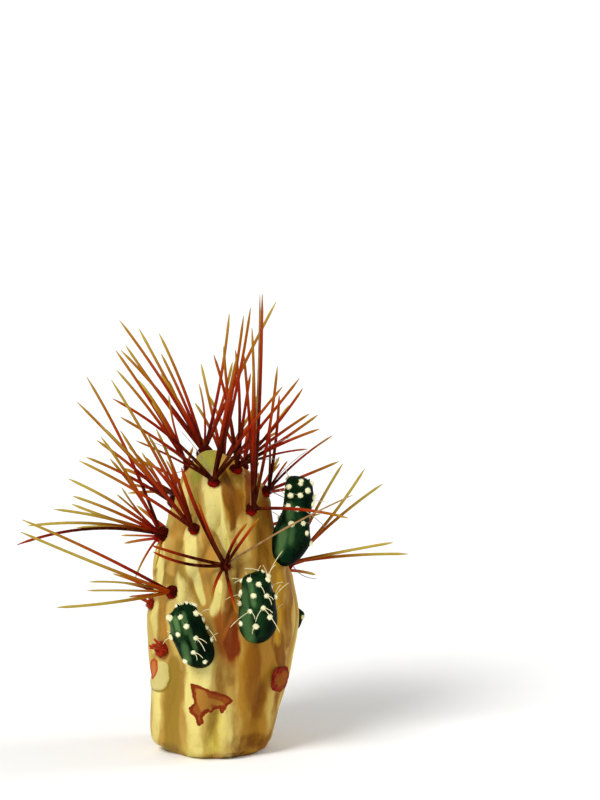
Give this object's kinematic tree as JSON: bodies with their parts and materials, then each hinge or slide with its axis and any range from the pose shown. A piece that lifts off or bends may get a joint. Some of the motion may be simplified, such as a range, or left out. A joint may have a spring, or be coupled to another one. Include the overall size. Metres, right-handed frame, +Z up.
{
  "type": "opuntia ignescens stem",
  "caption": "Thick cut joint of a fire cactus that stands on its flat cut, with long red and yellow spines in bunches and small green offsets.",
  "frame": {"origin": "middle of the flat cut at the foot of the stem, on the surface that it stands on", "axes": "+Z up along the stem, -Y the front with two offsets, +X the side with the large offset"},
  "size_m": [0.1165, 0.0925, 0.1406],
  "materials": {
    "stem": "waxy yellowed skin, tan and ochre with brown scars",
    "offset": "dark green skin with cream felt dots and pale bristles",
    "spine": "hard smooth spines, dark red at the foot and yellow at the tip",
    "areole": "rust-brown felt"
  },
  "bodies": {
    "root": {"stem": "stem", "offset_left": "offset", "offset_front": "offset", "offset_right": "offset", "offset_bud": "offset", "offset_back": "offset", "spines_crown_back": "spine", "spines_crown_left": "spine", "spines_crown_front": "spine", "spines_crown_right": "spine", "spines_front_right": "spine", "spines_right": "spine", "spines_left_upper": "spine", "spines_front_left": "spine", "spines_left": "spine", "spines_middle": "spine", "spines_left_lower": "spine", "spines_right_lower": "spine", "spines_back_1": "spine", "spines_back_2": "spine", "spines_back_3": "spine", "spines_back_4": "spine", "spines_back_5": "spine", "spines_back_6": "spine", "spines_back_7": "spine", "spines_back_8": "spine", "spines_back_9": "spine", "spines_back_10": "spine", "bare_areole_left": "areole", "bare_areole_left_lower": "areole", "bare_areole_right_lower": "areole", "bare_areole_back_1": "areole", "bare_areole_back_2": "areole", "bare_areole_back_3": "areole"}
  },
  "joints": []
}
